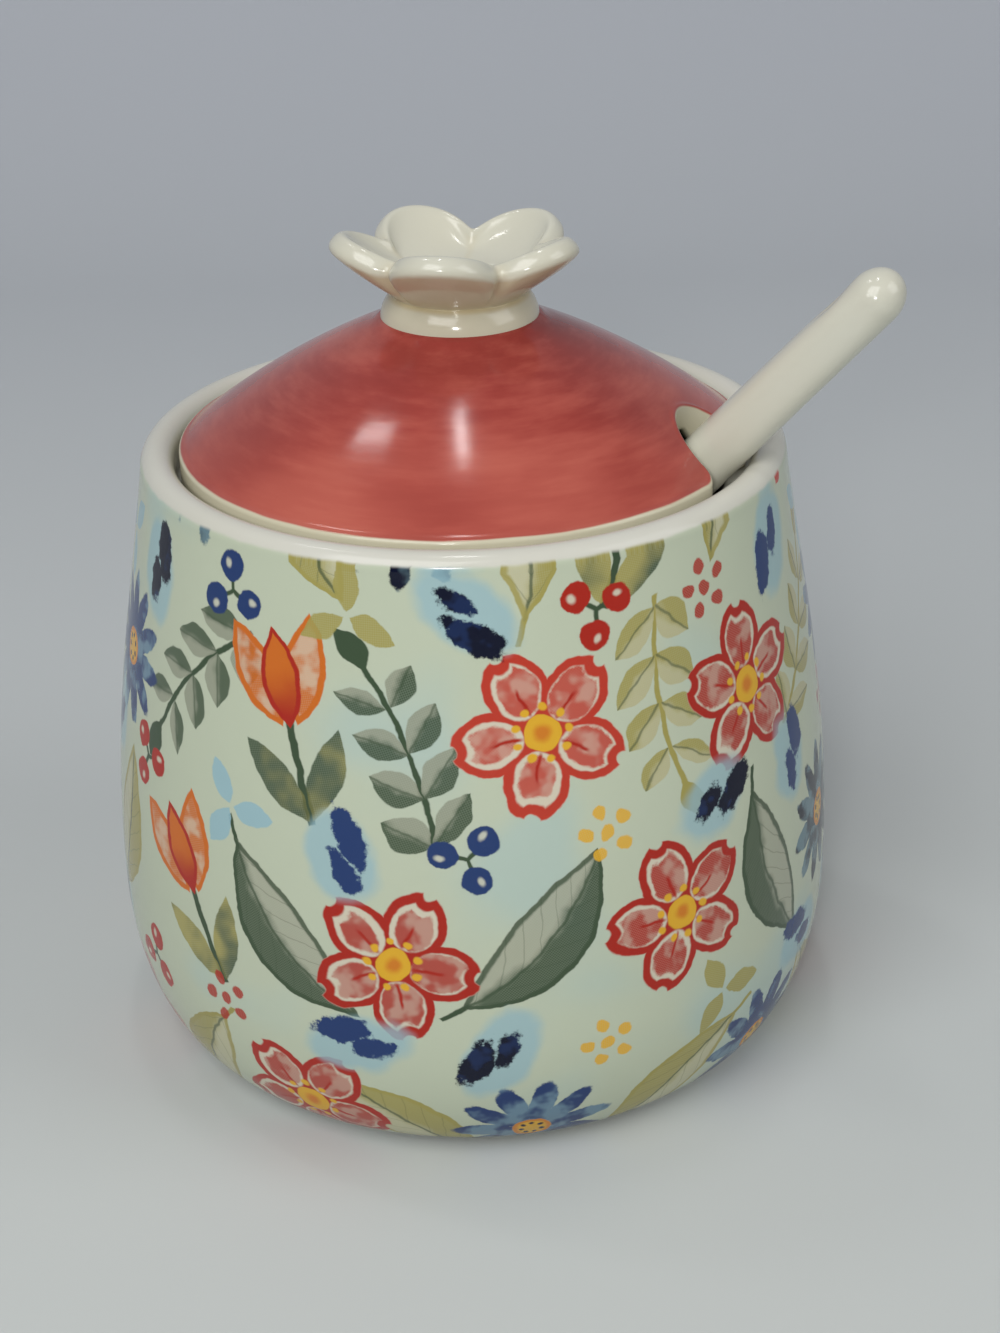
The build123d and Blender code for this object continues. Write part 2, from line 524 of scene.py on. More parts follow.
@dataclass(frozen=True)
class LidGlaze:
    """Coral brushed round the lid by hand, with a bare ivory edge.

    Fields:
        paint_end: Where the paint ends, in millimetres in from the lid's upper edge.
        lit_front_patch_shift: Place of the thick and thin patches, in metres along their noise, set so that
            the thin, lighter patches fall on the lid's front as painted light.
    """

    dark: str = "#8a352f"
    middle: str = "#a1453d"
    light: str = "#b65f51"
    edge: str = "#c6c0a8"
    roughness: float = 0.11
    gloss: float = 0.35
    paint_end: float = -0.3
    patch_scale: float = 30.0
    lit_front_patch_shift: float = 0.15
    wobble_scale: float = 110.0
    glaze_scale: float = 60.0
    relief: float = 0.1

    def material(self) -> bpy.types.Material:
        """Broad brush strokes round the axis, with patches of thick and thin paint.

        A stroke is noise over the azimuth's cosine and sine and the radius.

        Returns:
            The material. It reads the mark "from_edge", millimetres in from the lid's upper edge.
        """
        shader = Shader("coral_glaze")
        place = shader.place()
        x, y, _ = shader.split(place)
        radius = (x * x + y * y) ** 0.5
        around = shader.join(x / radius * 1.7, y / radius * 1.7, radius * 260)
        stroke = shader.noise(around, 1.0, 4, 0.6)
        # The patches' noise is shifted so that thin, lighter paint falls on the lid's front: random brush
        # tone placed as painted light.
        shift = {0: place, 1: (0, 0, self.lit_front_patch_shift)}
        shifted = shader.node("ShaderNodeVectorMath", {"operation": "ADD"}, shift)
        cloud = shader.noise(shifted.outputs[0], self.patch_scale, 2)
        bristle = shader.noise(shader.join(x / radius * 2.5, y / radius * 2.5, radius * 1300), 1.0, 2)
        thick = (stroke * 0.35 + cloud * 0.6 + bristle * 0.05).rise(0.32, 0.62)
        deep = shader.mix(thick, tone(self.dark), tone(self.middle))
        from_edge = shader.mark("from_edge")
        streaks = (stroke * 0.8 + bristle * 0.2).rise(0.42, 0.75)
        towards_edge = 1 - from_edge.rise(0.0, 13.0)
        thin = (streaks * 0.5 + towards_edge * 0.25 + cloud.rise(0.48, 0.66) * 0.55).least(1.0)
        brushed = shader.mix(thin, deep, tone(self.light))
        wobble = (shader.noise(place, self.wobble_scale, 2) - 0.5) * 0.5
        painted = (from_edge + wobble).rise(self.paint_end - 0.2, self.paint_end + 0.15)
        colour = shader.mix(painted, tone(self.edge), brushed)
        glaze = shader.noise(place, self.glaze_scale, 2)
        shader.relief(stroke * painted * 0.25 + glaze * 0.75, self.relief)
        return shader.finish(
            Base_Color=colour, Roughness=self.roughness + bristle * 0.06, Specular_IOR_Level=self.gloss
        )


class Flower(IntEnum):
    """The flowers of the print."""

    BLOSSOM = 1
    TULIP = 2
    DAISY = 3


class Greenery(IntEnum):
    """The leaves between the flowers."""

    BROAD = 1
    SPRIG = 2


class Filler(IntEnum):
    """The small motifs in the gaps."""

    BERRIES = 1
    LEAFLETS = 2
    SPECKS = 3
    DABS = 4


Layers = list[tuple[Value, Any]]


@dataclass(frozen=True)
class PrintColours:
    """Colours of the printed wall, as written."""

    ground: str = "#b8c0aa"
    wash: str = "#a5bcb8"
    coral: str = "#a32417"
    rose: str = "#b53828"
    olive: str = "#9c9350"
    leaf: str = "#3a4c36"
    navy: str = "#060c24"
    blue: str = "#213868"
    pale_blue: str = "#8fb2bc"
    mustard: str = "#d5a42c"
    amber: str = "#c4661f"
    cream: str = "#cfcfba"


@dataclass(frozen=True)
class Brush:
    """How the painter's brush varies over the wall.

    Fields:
        cloud: Slow noise that thins and thickens the paint.
        streak: Noise of a stroke's width.
        ragged: Fine noise that tears a dry stroke's edge.
        ink: How much ink the printing screen's dots lay down, where a paint shows them.
    """

    cloud: Value
    streak: Value
    ragged: Value
    ink: Value


@dataclass(frozen=True)
class PrintedFlowers:
    """The drawings of the print. Each gives masks and paints, from the lowest layer up."""

    colours: PrintColours = PrintColours()

    def paint(self, name: str) -> tuple[float, float, float, float]:
        """One of the print's colours, as a shader takes it."""
        return tone(getattr(self.colours, name))

    def shaded(self, shade: Value, first: str, second: str) -> Any:
        """A motif's own colour, one of two by its shade."""
        return shade.shader.mix(shade.rise(0.495, 0.505), self.paint(first), self.paint(second))

    def blossom(self, spot: Spot, shade: Value, brush: Brush) -> Layers:
        """A flower of five broad petals, each notched at its tip, round a dotted middle.

        Args:
            spot: Place from the flower's middle.
            shade: From coral at 0 to rose at 1.
            brush: How the paint varies.

        Returns:
            Pairs of a mask and a paint.
        """
        mix = spot.x.shader.mix
        sector = spot.folded(5)
        petal = sector.oval(5.8, 0, 4.8, 3.8).most(-1.0 * sector.oval(11.1, 0, 1.3, 1.0))
        whole = petal.inside()
        base = self.shaded(shade, "coral", "rose")
        bare = mix(0.14, self.paint("cream"), base)
        wash = mix(brush.streak.rise(0.46, 0.64) * 0.4, base, bare)
        filled = (petal + 1.4 + (brush.cloud - 0.5) * 2.6 + (brush.ragged - 0.5) * 0.8).inside(0.2)
        outline = petal.rise(-1.15, -0.85)
        vein = (abs(sector.y) - 0.2).inside(0.16) * (abs(sector.x - 4.2) - 1.7).inside(0.5)
        radius = spot.radius()
        return [
            (whole, bare),
            (whole * filled * brush.ink, wash),
            (whole * outline, base),
            (vein, self.paint("coral")),
            ((radius - 2.2).inside(), self.paint("mustard")),
            ((radius - 0.9).inside(0.5) * 0.8, self.paint("amber")),
            (spot.folded(9).oval(3.2, 0, 0.5, 0.5).inside(0.15), self.paint("mustard")),
        ]

    def tulip(self, spot: Spot, shade: Value, brush: Brush) -> Layers:
        """A cup of three pointed petals on a stem with two leaves.

        Args:
            spot: Place from the motif's middle, its stem along -Y.
            shade: From mustard at 0 to amber at 1.
            brush: How the paint varies.

        Returns:
            Pairs of a mask and a paint.
        """
        mix = spot.x.shader.mix
        half = spot.mirrored()
        outer = half.moved(1.0, -1.2).turned(70).leaf(13.6, 2.9)
        inner = spot.moved(0, -1.4).turned(90).leaf(12.0, 2.7)
        stem = (abs(spot.x) - 0.5).most(abs(spot.y + 6.8) - 6.2)
        leaf = half.moved(0.2, -12.6).turned(60).leaf(12.0, 2.1)
        cup = self.shaded(shade, "mustard", "amber")
        glow = mix(brush.streak.rise(0.4, 0.6) * 0.5, cup, self.paint("cream"))
        warm = mix((spot.y + brush.cloud * 6.0).rise(3.0, 9.0), self.paint("coral"), cup)
        green = mix(brush.cloud.rise(0.4, 0.6), self.paint("olive"), self.paint("leaf"))
        return [
            (stem.inside(), self.paint("leaf")),
            (leaf.inside() * brush.ink, green),
            (outer.inside() * brush.ink, glow),
            (outer.inside() * outer.rise(-0.95, -0.7), self.paint("amber")),
            (inner.inside(), warm),
            (inner.inside() * inner.rise(-0.8, -0.55), self.paint("coral")),
        ]

    def daisy(self, spot: Spot, shade: Value, brush: Brush) -> Layers:
        """A flower of many narrow petals round a broad middle.

        Args:
            spot: Place from the flower's middle.
            shade: From navy at 0 to blue at 1.
            brush: How the paint varies.

        Returns:
            Pairs of a mask and a paint.
        """
        mix = spot.x.shader.mix
        sector = spot.folded(11)
        petal = sector.oval(5.8, 0, 4.0, 1.5) + (brush.ragged - 0.5) * 0.6
        base = self.shaded(shade, "navy", "blue")
        pale = mix(0.6, base, self.paint("pale_blue"))
        paint = mix((brush.streak + brush.cloud).rise(0.9, 1.15) * 0.8, base, pale)
        radius = spot.radius()
        middle = (radius - 2.4).inside()
        return [
            (petal.inside(), paint),
            (middle, self.paint("mustard")),
            (radius.rise(1.6, 2.2) * middle * 0.7, self.paint("amber")),
            (spot.folded(7).oval(1.4, 0, 0.34, 0.34).inside(0.15), self.paint("navy")),
        ]

    def broad(self, spot: Spot, shade: Value, brush: Brush) -> Layers:
        """A long pointed leaf in watery paint, darker at its edge, with slanting veins.

        Args:
            spot: Place from the leaf's middle, its tip along +X.
            shade: From olive at 0 to dark green at 1.
            brush: How the paint varies.

        Returns:
            Pairs of a mask and a paint.
        """
        mix = spot.x.shader.mix
        bent = Spot(spot.x + 13.0, spot.y - spot.x * spot.x * 0.014)
        blade = bent.leaf(26.0, 4.8)
        whole = blade.inside()
        base = self.shaded(shade, "olive", "leaf")
        pale = mix(0.6, base, self.paint("cream"))
        side = (bent.y + (brush.cloud + brush.streak) * 2.0).rise(1.2, 3.2)
        slant = ((bent.x - abs(bent.y) * 1.3) * (1 / 3.3)).part()
        vein = (abs(slant - 0.5) - 0.03).inside(0.035) * 0.35
        rib = (abs(bent.y) - 0.2).inside(0.14) * 0.75
        stalk = (abs(bent.y) - 0.35).most(abs(bent.x + 1.2) - 1.6)
        return [
            (stalk.inside(), base),
            (whole * brush.ink, mix(side * 0.9, base, pale)),
            (whole * vein, self.paint("leaf")),
            (whole * rib, self.paint("leaf")),
            (whole * blade.rise(-0.9, -0.5) * 0.85, base),
        ]

    def sprig(self, spot: Spot, shade: Value, brush: Brush) -> Layers:
        """A bent stem with pairs of pointed leaves that shrink towards its tip.

        Args:
            spot: Place from the motif's middle, the tip along +X.
            shade: From dark green at 0 to olive at 1.
            brush: How the paint varies.

        Returns:
            Pairs of a mask and a paint.
        """
        mix = spot.x.shader.mix
        pitch, foot, tip = 5.6, -13.0, 9.4
        bent = Spot(spot.y - spot.x * spot.x * 0.012, spot.x).mirrored()
        step = ((bent.y - foot) / pitch).part() * pitch
        rising = (bent.y - foot).rise(-0.1, 0.1) * (1 - (bent.y - tip).rise(-0.1, 0.1))
        pair = Spot(bent.x, step).moved(0.1, 0.5).turned(40)
        blade = pair.leaf(7.0, 2.1) + bent.y.rise(-6.0, 14.0) * 0.7
        last = Spot(bent.y - tip, bent.x).leaf(5.8, 1.7)
        stem = (bent.x - 0.36).most(abs(bent.y + 1.7) - 12.0)
        base = self.shaded(shade, "leaf", "olive")
        pale = mix(0.5, base, self.paint("cream"))
        paint = mix((pair.y * 0.4 + brush.streak).rise(0.3, 0.8) * 0.8, base, pale)
        rib = (abs(pair.y) - 0.14).inside(0.12) * 0.6
        whole = blade.inside() * rising
        return [
            (stem.inside(), base),
            (whole * brush.ink, paint),
            (whole * rib, self.paint("leaf")),
            (last.inside(), base),
        ]

    def berries(self, spot: Spot, shade: Value, brush: Brush) -> Layers:
        """Three berries on short twigs, each with a bright fleck.

        Args:
            spot: Place from the motif's middle.
            shade: From coral at 0 to blue at 1.
            brush: How the paint varies.

        Returns:
            Pairs of a mask and a paint.
        """
        sector = spot.folded(3)
        twigs = (abs(sector.y) - 0.28).most(spot.radius() - 2.2)
        berry = sector.oval(2.9, 0, 1.8, 1.8) + (brush.ragged - 0.5) * 0.4
        return [
            (twigs.inside(), self.paint("leaf")),
            (berry.inside(), self.shaded(shade, "coral", "blue")),
            (sector.oval(3.3, 0.4, 0.55, 0.4).inside(0.2) * 0.8, self.paint("cream")),
        ]

    def leaflets(self, spot: Spot, shade: Value, brush: Brush) -> Layers:
        """Three small leaves that meet at their stalks.

        Args:
            spot: Place from the motif's middle.
            shade: From pale blue at 0 to olive at 1.
            brush: How the paint varies.

        Returns:
            Pairs of a mask and a paint.
        """
        leaves = spot.folded(3).moved(0.4, 0).leaf(6.0, 1.6) + (brush.ragged - 0.5) * 0.4
        return [(leaves.inside() * brush.ink, self.shaded(shade, "pale_blue", "olive"))]

    def specks(self, spot: Spot, shade: Value, brush: Brush) -> Layers:
        """A ring of five dots round a sixth.

        Args:
            spot: Place from the motif's middle.
            shade: From mustard at 0 to coral at 1.
            brush: How the paint varies.

        Returns:
            Pairs of a mask and a paint.
        """
        dots = spot.folded(5).oval(2.7, 0, 0.95, 0.85).least(spot.radius() - 0.9)
        mask = (dots + (brush.ragged - 0.5) * 0.5).inside() * brush.ink
        return [(mask, self.shaded(shade, "mustard", "coral"))]

    def dabs(self, spot: Spot, shade: Value, brush: Brush) -> Layers:
        """Two dry dabs of a loaded brush in a watery halo.

        Args:
            spot: Place from the motif's middle.
            shade: From navy at 0 to blue at 1.
            brush: How the paint varies.

        Returns:
            Pairs of a mask and a paint.
        """
        mix = spot.x.shader.mix
        torn = (brush.ragged - 0.5) * 1.6 + (brush.streak - 0.5) * 1.4
        halo = spot.oval(1.0, -1.0, 6.2, 4.0) + (brush.cloud - 0.5) * 5.0
        dab = spot.oval(-1.4, 1.1, 3.7, 1.8).least(spot.oval(2.2, -1.5, 2.8, 1.4)) + torn
        base = self.shaded(shade, "navy", "blue")
        return [
            (halo.inside(0.8) * 0.75, self.paint("pale_blue")),
            (dab.inside(0.2), mix(brush.streak.rise(0.52, 0.64) * 0.45, base, self.paint("blue"))),
        ]

    def drawings(self) -> dict[str, dict[int, Any]]:
        """Each layer of the print, by the name of the vector that the mesh carries for it.

        Returns:
            The drawing of each kind, by layer.
        """
        return {
            "greenery": {Greenery.BROAD: self.broad, Greenery.SPRIG: self.sprig},
            "flower": {Flower.BLOSSOM: self.blossom, Flower.TULIP: self.tulip, Flower.DAISY: self.daisy},
            "filler": {
                Filler.BERRIES: self.berries,
                Filler.LEAFLETS: self.leaflets,
                Filler.SPECKS: self.specks,
                Filler.DABS: self.dabs,
            },
        }


@dataclass(frozen=True)
class PotGlaze:
    """Printed flowers on a mint ground, under a clear glaze, with an ivory rim and a bare foot.

    Fields:
        print_top: Height at which the print ends under the rim.
        print_foot: Height at which it starts.
        stray: How far a painted edge strays, in millimetres.
        screen: Pitch of the printing screen's dots, in millimetres.
    """

    flowers: PrintedFlowers = PrintedFlowers()
    rim: str = "#cdccc3"
    rim_pooled: str = "#bab6a3"
    bare: str = "#c8bfa8"
    print_top: float = 79.1
    print_foot: float = 1.5
    roughness: float = 0.12
    gloss: float = 0.28
    stray: float = 1.2
    stray_scale: float = 300.0
    screen: float = 0.52
    wash_scale: float = 34.0
    cloud_scale: float = 90.0
    streak_scale: float = 330.0
    ragged_scale: float = 850.0
    pigment_scale: float = 1100.0
    glaze_scale: float = 60.0
    relief: float = 0.12

    def material(self) -> bpy.types.Material:
        """Lays the washes and then each layer of the print over the ground, under its own masks.

        Returns:
            The material. It reads one vector for each layer, whose third number is a kind plus a
            shade, and the marks "outer" and "foot".
        """
        shader = Shader("printed_glaze")
        place = shader.place()
        height = shader.split(place)[2] * (1 / MM)
        cloud = shader.noise(place, self.cloud_scale, 3)
        streak = shader.noise(place, self.streak_scale, 2)
        ragged = shader.noise(place, self.ragged_scale, 3, 0.7)
        pigment = shader.noise(place, self.pigment_scale, 2)
        watery = shader.noise(place, self.wash_scale, 2).rise(0.54, 0.68) * 0.6
        colour = shader.mix(watery, self.flowers.paint("ground"), self.flowers.paint("wash"))
        stray = self.stray_edge(shader, place)
        for label, drawings in self.flowers.drawings().items():
            along, across, code = shader.split(shader.marked_vector(label))
            brush = Brush(cloud, streak, ragged, self.halftone(Spot(along, across)) * 0.2 + 0.8)
            spot = Spot(along + stray[0], across + stray[1])
            for kind, draw in drawings.items():
                chosen = shader.math("COMPARE", code.floor(), float(kind), 0.5)
                for mask, paint in draw(spot, code.part(), brush):
                    colour = shader.mix(mask * chosen, colour, paint)
        torn = height + (shader.noise(place, self.stray_scale, 2) - 0.5) * 0.5
        low = torn.rise(self.print_foot - 0.2, self.print_foot + 0.2)
        high = 1 - torn.rise(self.print_top - 0.25, self.print_top + 0.25)
        ivory = shader.mix(cloud * 0.4, tone(self.rim), tone(self.rim_pooled))
        colour = shader.mix(shader.mark("outer") * low * high, ivory, colour)
        foot = shader.mark("foot")
        colour = shader.mix(foot, colour, tone(self.bare))
        shader.relief(shader.noise(place, self.glaze_scale, 2) * 0.8 + pigment * 0.1, self.relief)
        return shader.finish(
            Base_Color=colour,
            Roughness=self.roughness + pigment * 0.05 + foot * 0.5,
            Specular_IOR_Level=self.gloss,
        )

    def halftone(self, spot: Spot) -> Value:
        """The printing screen's dots, from 0 to 1: the product of two sines along the diagonals.

        Args:
            spot: Place on the wall.

        Returns:
            The ink of the dots.
        """
        shader = spot.x.shader
        wave = 2 * math.pi / self.screen
        rising = shader.math("SINE", (spot.x + spot.y) * wave)
        falling = shader.math("SINE", (spot.x - spot.y) * wave)
        return rising * falling * 0.5 + 0.5

    def stray_edge(self, shader: Shader, place: Any) -> tuple[Value, Value]:
        """How far a painted edge strays from its drawing.

        Args:
            shader: The glaze.
            place: The place on the pot.

        Returns:
            The shift along and across, in millimetres.
        """
        inputs = {"Vector": place, "Scale": self.stray_scale, "Detail": 3.0}
        cloud = shader.node("ShaderNodeTexNoise", inputs=inputs).outputs["Color"]
        red, green, _ = shader.split(cloud)
        return (red - 0.5) * self.stray, (green - 0.5) * self.stray


@dataclass
class PotBody:
    """The pot: foot ring, bellied wall, rounded rim and the ledge inside that carries the lid."""

    belly_radius: float
    height: float
    belly_height: float = 21.0
    neck_radius: float = 40.5
    neck_taper: float = 8.8
    rim_width: float = 4.2
    wall: float = 4.1
    foot_radius: float = 39.0
    foot_width: float = 3.6
    foot_height: float = 0.9
    floor_height: float = 4.6
    seat_depth: float = 5.0
    seat_width: float = 3.3
    seat_thickness: float = 3.0
    corner_pull: float = 0.55
    belly_pull: float = 0.4
    neck_pull: float = 0.35
    foot_round: float = 0.4
    ledge_round: float = 0.8
    columns: int = 256
    rows_apart: float = 27.0
    first_row: float = 8.0
    motifs_round: int = 9
    motif_rows: int = 4

    def corner(self, low: Sequence[float], high: Sequence[float], count: int) -> np.ndarray:
        """The rounded lower corner, a Bezier curve: flat at the bottom, upright at the belly.

        Args:
            low: Radius and height of the lower end.
            high: Radius and height of the upper end.
            count: How many points.

        Returns:
            The corner's points, upwards.
        """
        pull = self.corner_pull
        (r0, z0), (r1, z1) = low, high
        return bezier([low, (r0 + pull * (r1 - r0), z0), (r1, z1 - pull * (z1 - z0)), high], count)

    def side(self, low: Sequence[float], high: Sequence[float], count: int) -> np.ndarray:
        """The side wall, a Bezier curve: upright at the belly, leaning in by the neck's taper at the top.

        Args:
            low: Radius and height of the lower end.
            high: Radius and height of the upper end.
            count: How many points.

        Returns:
            The wall's points, upwards.
        """
        climb = high[1] - low[1]
        drop = self.neck_pull * climb
        lean = drop * math.tan(math.radians(self.neck_taper))
        belly = (low[0], low[1] + self.belly_pull * climb)
        return bezier([low, belly, (high[0] + lean, high[1] - drop), high], count)

    def outside(self) -> np.ndarray:
        """Radius and height of the wall from the foot step to the start of the rim.

        Returns:
            The outline's points, upwards.
        """
        foot = (self.foot_radius, self.foot_height)
        belly = (self.belly_radius, self.belly_height)
        neck = (self.neck_radius, self.height - self.rim_width / 2)
        return np.vstack([self.corner(foot, belly, 32), self.side(belly, neck, 64)[1:]])

    def section(self) -> list[np.ndarray]:
        """Radius and height of the pot's skin, from the middle of its underside to that of its floor.

        Returns:
            Its stretches in order: the foot, the outer wall, the rim, the ledge and the inside.
        """
        rim = self.rim_width / 2
        inner_foot = self.foot_radius - self.foot_width
        gallery = self.neck_radius - self.rim_width
        seat = self.height - self.seat_depth
        throat = gallery - self.seat_width
        inner_neck = self.neck_radius - self.wall
        under = seat - self.seat_thickness
        ledge_foot = under - (inner_neck - throat)
        inner_belly = (self.belly_radius - self.wall, self.belly_height)
        floor_edge = (inner_foot, self.floor_height)
        foot = rounded(
            [
                (0, self.foot_height),
                (inner_foot, self.foot_height),
                (inner_foot, 0),
                (self.foot_radius, 0),
                (self.foot_radius, self.foot_height),
            ],
            self.foot_round,
        )
        rim_arc = arc((gallery + rim, self.height - rim), rim, 0, 180, 25)[1:]
        ledge = rounded(
            [
                (gallery, self.height - rim),
                (gallery, seat),
                (throat, seat),
                (throat, under),
                (inner_neck, ledge_foot),
            ],
            self.ledge_round,
        )[1:]
        inside = np.vstack(
            [
                self.side(inner_belly, (inner_neck, ledge_foot), 40)[::-1],
                self.corner(floor_edge, inner_belly, 24)[::-1][1:],
                [(inner_foot / 2, self.floor_height), (0, self.floor_height)],
            ]
        )[1:]
        return [foot, self.outside()[1:], rim_arc, ledge, inside]

    def build(self) -> bpy.types.Object:
        """Turns the section round the axis and marks the wall, the foot and the print's motifs.

        Returns:
            The pot's piece.
        """
        stretches = self.section()
        outline = np.vstack(stretches)
        foot, outside, rim = (len(stretch) for stretch in stretches[:3])
        azimuth = np.linspace(0, 2 * math.pi, self.columns, endpoint=False)
        grid = ring(outline[:, :1], outline[:, 1:], azimuth[None, :])
        order = np.arange(len(outline))[:, None]
        top = foot + outside + rim // 2
        marks = {
            "outer": ((order >= foot) & (order <= top)).astype(float),
            "foot": (order < foot - 1).astype(float),
        }
        surface = GridSurface(grid, marks)
        piece = surface.piece("pot_shell")
        self.mark_print(piece, surface)
        return piece

    def layout(self) -> dict[str, np.ndarray]:
        """Where the motifs stand, as rows of azimuth, height along the wall, turn, kind and shade.

        Flowers stand in staggered rows, leaves halfway between two flowers of a row, and small
        motifs halfway between two flowers of neighbouring rows.

        Returns:
            The rows for each layer of the print.
        """
        step = 2 * math.pi / self.motifs_round
        flowers = [Flower.BLOSSOM, Flower.DAISY, Flower.TULIP, Flower.BLOSSOM, Flower.DAISY]
        leaves = [Greenery.BROAD, Greenery.SPRIG, Greenery.BROAD]
        small = [Filler.DABS, Filler.BERRIES, Filler.SPECKS, Filler.LEAFLETS, Filler.DABS]
        layers: dict[str, list[tuple[float, ...]]] = {"flower": [], "greenery": [], "filler": []}
        for row in range(self.motif_rows):
            level = self.first_row + row * self.rows_apart
            for column in range(self.motifs_round):
                # Steps without a common period keep neighbours from looking alike.
                number = row * 7 + column * 3
                sway = math.sin(2.9 * number + row)
                shade = (number * 0.618) % 1
                azimuth = (column + 0.5 * (row % 2)) * step
                flower = flowers[number % len(flowers)]
                turn = 0.5 * sway if flower is Flower.TULIP else number * 1.1
                place = azimuth + 0.06 * sway * step
                layers["flower"].append((place, level + 1.6 * sway, turn, flower, shade))
                leaf = leaves[(number + row) % len(leaves)]
                lean = math.pi / 2 + 0.75 * sway + math.pi * (column % 2)
                green = (shade + 0.35) % 1 * 0.8
                layers["greenery"].append((azimuth + step / 2, level - sway, lean, leaf, green))
                middle = level + self.rows_apart / 2 + sway
                for side in (-1, 1):
                    kind = small[(number + side) % len(small)]
                    place = azimuth + side * (0.25 + 0.03 * sway) * step
                    tint = (shade * 3 + 0.5 * side) % 1
                    layers["filler"].append((place, middle, number + side, kind, tint))
        return {label: np.array(rows, float) for label, rows in layers.items()}

    def mark_print(self, piece: bpy.types.Object, surface: GridSurface) -> None:
        """Gives each face the motif nearest to it, as the corner's place from the motif's middle.

        The wall is unrolled: along is the azimuth times the motif's own radius, and up is the
        length of the outline. Both are turned by the motif's own angle.

        Args:
            piece: The pot's piece.
            surface: The grid that it was made from.
        """
        points, quads, triangles, _ = surface.welded()
        outline = self.outside()
        length = np.concatenate([[0], np.cumsum(np.linalg.norm(np.diff(outline, axis=0), axis=1))])
        azimuth = np.arctan2(points[:, 1], points[:, 0])
        up = np.interp(points[:, 2], outline[:, 1], length)
        middles = np.concatenate([points[quads].mean(axis=1), points[triangles].mean(axis=1)])
        face_azimuth = np.arctan2(middles[:, 1], middles[:, 0])
        face_up = np.interp(middles[:, 2], outline[:, 1], length)
        corners = np.concatenate([quads.reshape(-1), triangles.reshape(-1)])
        faces = np.concatenate(
            [np.repeat(np.arange(len(quads)), 4), len(quads) + np.repeat(np.arange(len(triangles)), 3)]
        )
        for label, spots in self.layout().items():
            radius = np.interp(spots[:, 1], length, outline[:, 0])
            turn = np.angle(np.exp(1j * (face_azimuth[:, None] - spots[None, :, 0])))
            distance = np.hypot(turn * radius[None, :], face_up[:, None] - spots[None, :, 1])
            chosen = spots[distance.argmin(axis=1)][faces]
            reach = np.interp(chosen[:, 1], length, outline[:, 0])
            along = np.angle(np.exp(1j * (azimuth[corners] - chosen[:, 0]))) * reach
            across = up[corners] - chosen[:, 1]
            c, s = np.cos(chosen[:, 2]), np.sin(chosen[:, 2])
            code = chosen[:, 3] + 0.1 + 0.8 * chosen[:, 4]
            vectors = np.stack([along * c + across * s, across * c - along * s, code], axis=1)
            layer = piece.data.attributes.new(label, "FLOAT_VECTOR", "CORNER")
            layer.data.foreach_set("vector", vectors.astype(np.float32).reshape(-1))

    def dress(self, piece: bpy.types.Object) -> None:
        """Gives the pot its glaze and its place in the frame.

        Args:
            piece: The pot's piece.
        """
        piece.data.materials.append(PotGlaze().material())
        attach(piece, "pot")
        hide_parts("pot_body")


